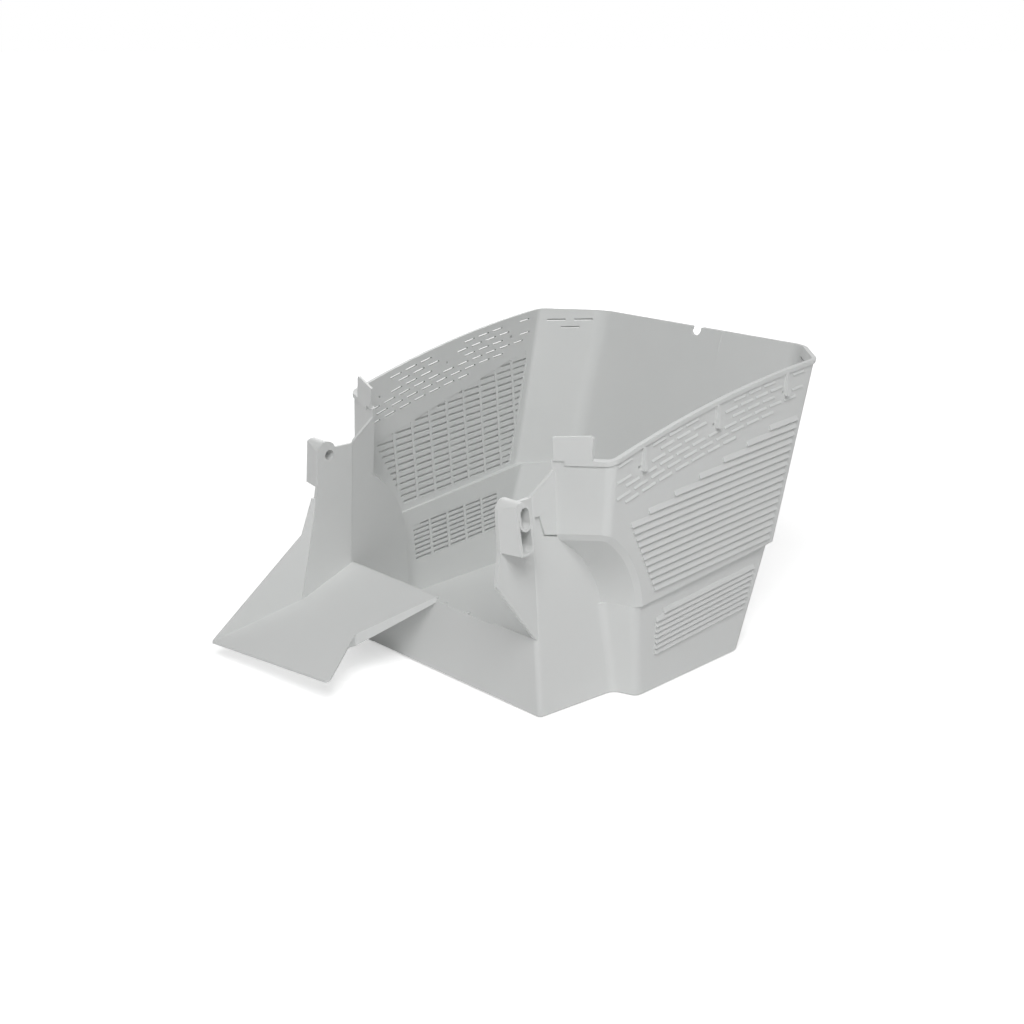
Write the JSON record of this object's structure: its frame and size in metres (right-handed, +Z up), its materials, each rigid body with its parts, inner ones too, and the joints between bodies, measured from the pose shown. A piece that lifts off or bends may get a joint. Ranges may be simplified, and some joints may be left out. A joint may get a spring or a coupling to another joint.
{
  "type": "grass box tub",
  "caption": "Open moulded tub of a rigid grass box: stepped louvred walls, a narrow throat between wheel arches, hanging ears and a sloping inlet chute.",
  "frame": {"origin": "on the floor's underside, 150 mm behind the front face of the sill, midway between the sides", "axes": "+X right seen from the front, +Y to the rear, away from the inlet, +Z up"},
  "size_m": [0.3774, 0.5201, 0.285],
  "materials": {
    "moulded_plastic": "fine matt moulded grain"
  },
  "bodies": {
    "root": {"floor_pan": "moulded_plastic", "front_sill": "moulded_plastic", "rear_wall": "moulded_plastic", "rear_rim_lip": "moulded_plastic", "left_post": "moulded_plastic", "right_post": "moulded_plastic", "chute_floor": "moulded_plastic", "chute_flange": "moulded_plastic", "chute_wing": "moulded_plastic", "left_throat_wall": "moulded_plastic", "right_throat_wall": "moulded_plastic", "left_shoulder": "moulded_plastic", "right_shoulder": "moulded_plastic", "left_wheel_arch": "moulded_plastic", "right_wheel_arch": "moulded_plastic", "left_upper_corner": "moulded_plastic", "right_upper_corner": "moulded_plastic", "left_side_wall": "moulded_plastic", "right_side_wall": "moulded_plastic", "left_upper_grille": "moulded_plastic", "right_upper_grille": "moulded_plastic", "left_lower_grille": "moulded_plastic", "right_lower_grille": "moulded_plastic", "left_rim_vent": "moulded_plastic", "right_rim_vent": "moulded_plastic", "left_rear_corner": "moulded_plastic", "right_rear_corner": "moulded_plastic", "left_rim_lip": "moulded_plastic", "right_rim_lip": "moulded_plastic", "left_snap_hooks": "moulded_plastic", "right_snap_hooks": "moulded_plastic", "left_ear": "moulded_plastic", "right_ear": "moulded_plastic", "left_tab": "moulded_plastic", "right_tab": "moulded_plastic"}
  },
  "joints": []
}
